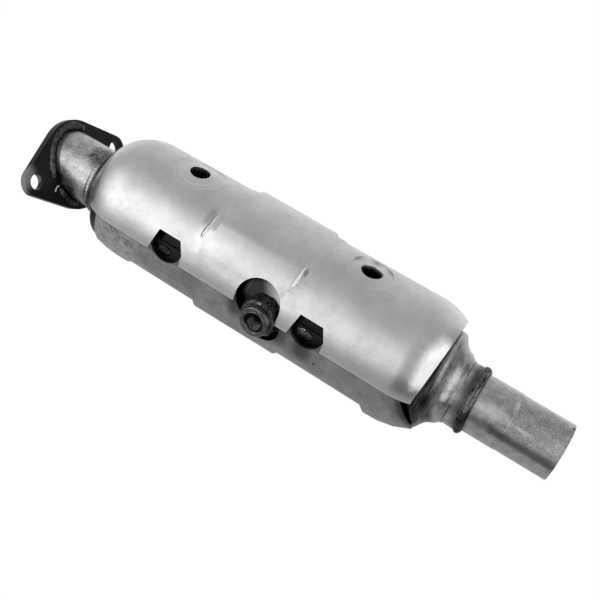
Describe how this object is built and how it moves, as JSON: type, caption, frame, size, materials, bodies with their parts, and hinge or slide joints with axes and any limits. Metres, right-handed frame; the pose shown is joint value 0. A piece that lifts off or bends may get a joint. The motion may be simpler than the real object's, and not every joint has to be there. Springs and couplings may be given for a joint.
{
  "type": "catalytic converter",
  "caption": "Round catalytic converter in a pressed two-half heat shield, with an oblique bolted inlet flange, a plain outlet pipe and a threaded sensor bung.",
  "frame": {"origin": "where the pipe axis meets the sealing face of the inlet flange", "axes": "+X along the pipe axis with the gas flow, +Z to the crown of the upper shield, -Y to the sensor bung"},
  "size_m": [0.581, 0.1461, 0.1327],
  "materials": {
    "flange_black": "satin black",
    "inlet_steel": "mottled mill finish",
    "flange_weld": "rippled weld, sooty",
    "ring_weld": "rippled weld, burnt",
    "body_steel": "heat-tinted mill finish",
    "brick_ceramic": "matt ceramic",
    "mat_fibre": "pressed fibre",
    "seal_wire": "knitted wire",
    "bung_steel": "turned, dull",
    "shield_bright": "satin pressed sheet",
    "shield_grey": "dull aluminised sheet",
    "plug_weld": "burnt weld with bright spatter",
    "tack_weld": "burnt weld",
    "outlet_steel": "mottled mill finish"
  },
  "bodies": {
    "root": {"inlet_flange": "flange_black", "inlet_pipe": "inlet_steel", "flange_weld_long": "flange_weld", "flange_weld_short": "flange_weld", "inlet_weld": "ring_weld", "body_shell": "body_steel", "front_brick": "brick_ceramic", "rear_brick": "brick_ceramic", "front_mat": "mat_fibre", "rear_mat": "mat_fibre", "front_mat_inlet_seal": "seal_wire", "front_mat_outlet_seal": "seal_wire", "rear_mat_inlet_seal": "seal_wire", "rear_mat_outlet_seal": "seal_wire", "sensor_bung": "bung_steel", "bung_weld": "ring_weld", "upper_shield": "shield_bright", "lower_shield": "shield_grey", "front_plug_weld": "plug_weld", "rear_plug_weld": "plug_weld", "near_front_tack": "tack_weld", "near_rear_tack": "tack_weld", "far_front_tack": "tack_weld", "far_rear_tack": "tack_weld", "outlet_weld": "ring_weld", "outlet_pipe": "outlet_steel"}
  },
  "joints": []
}
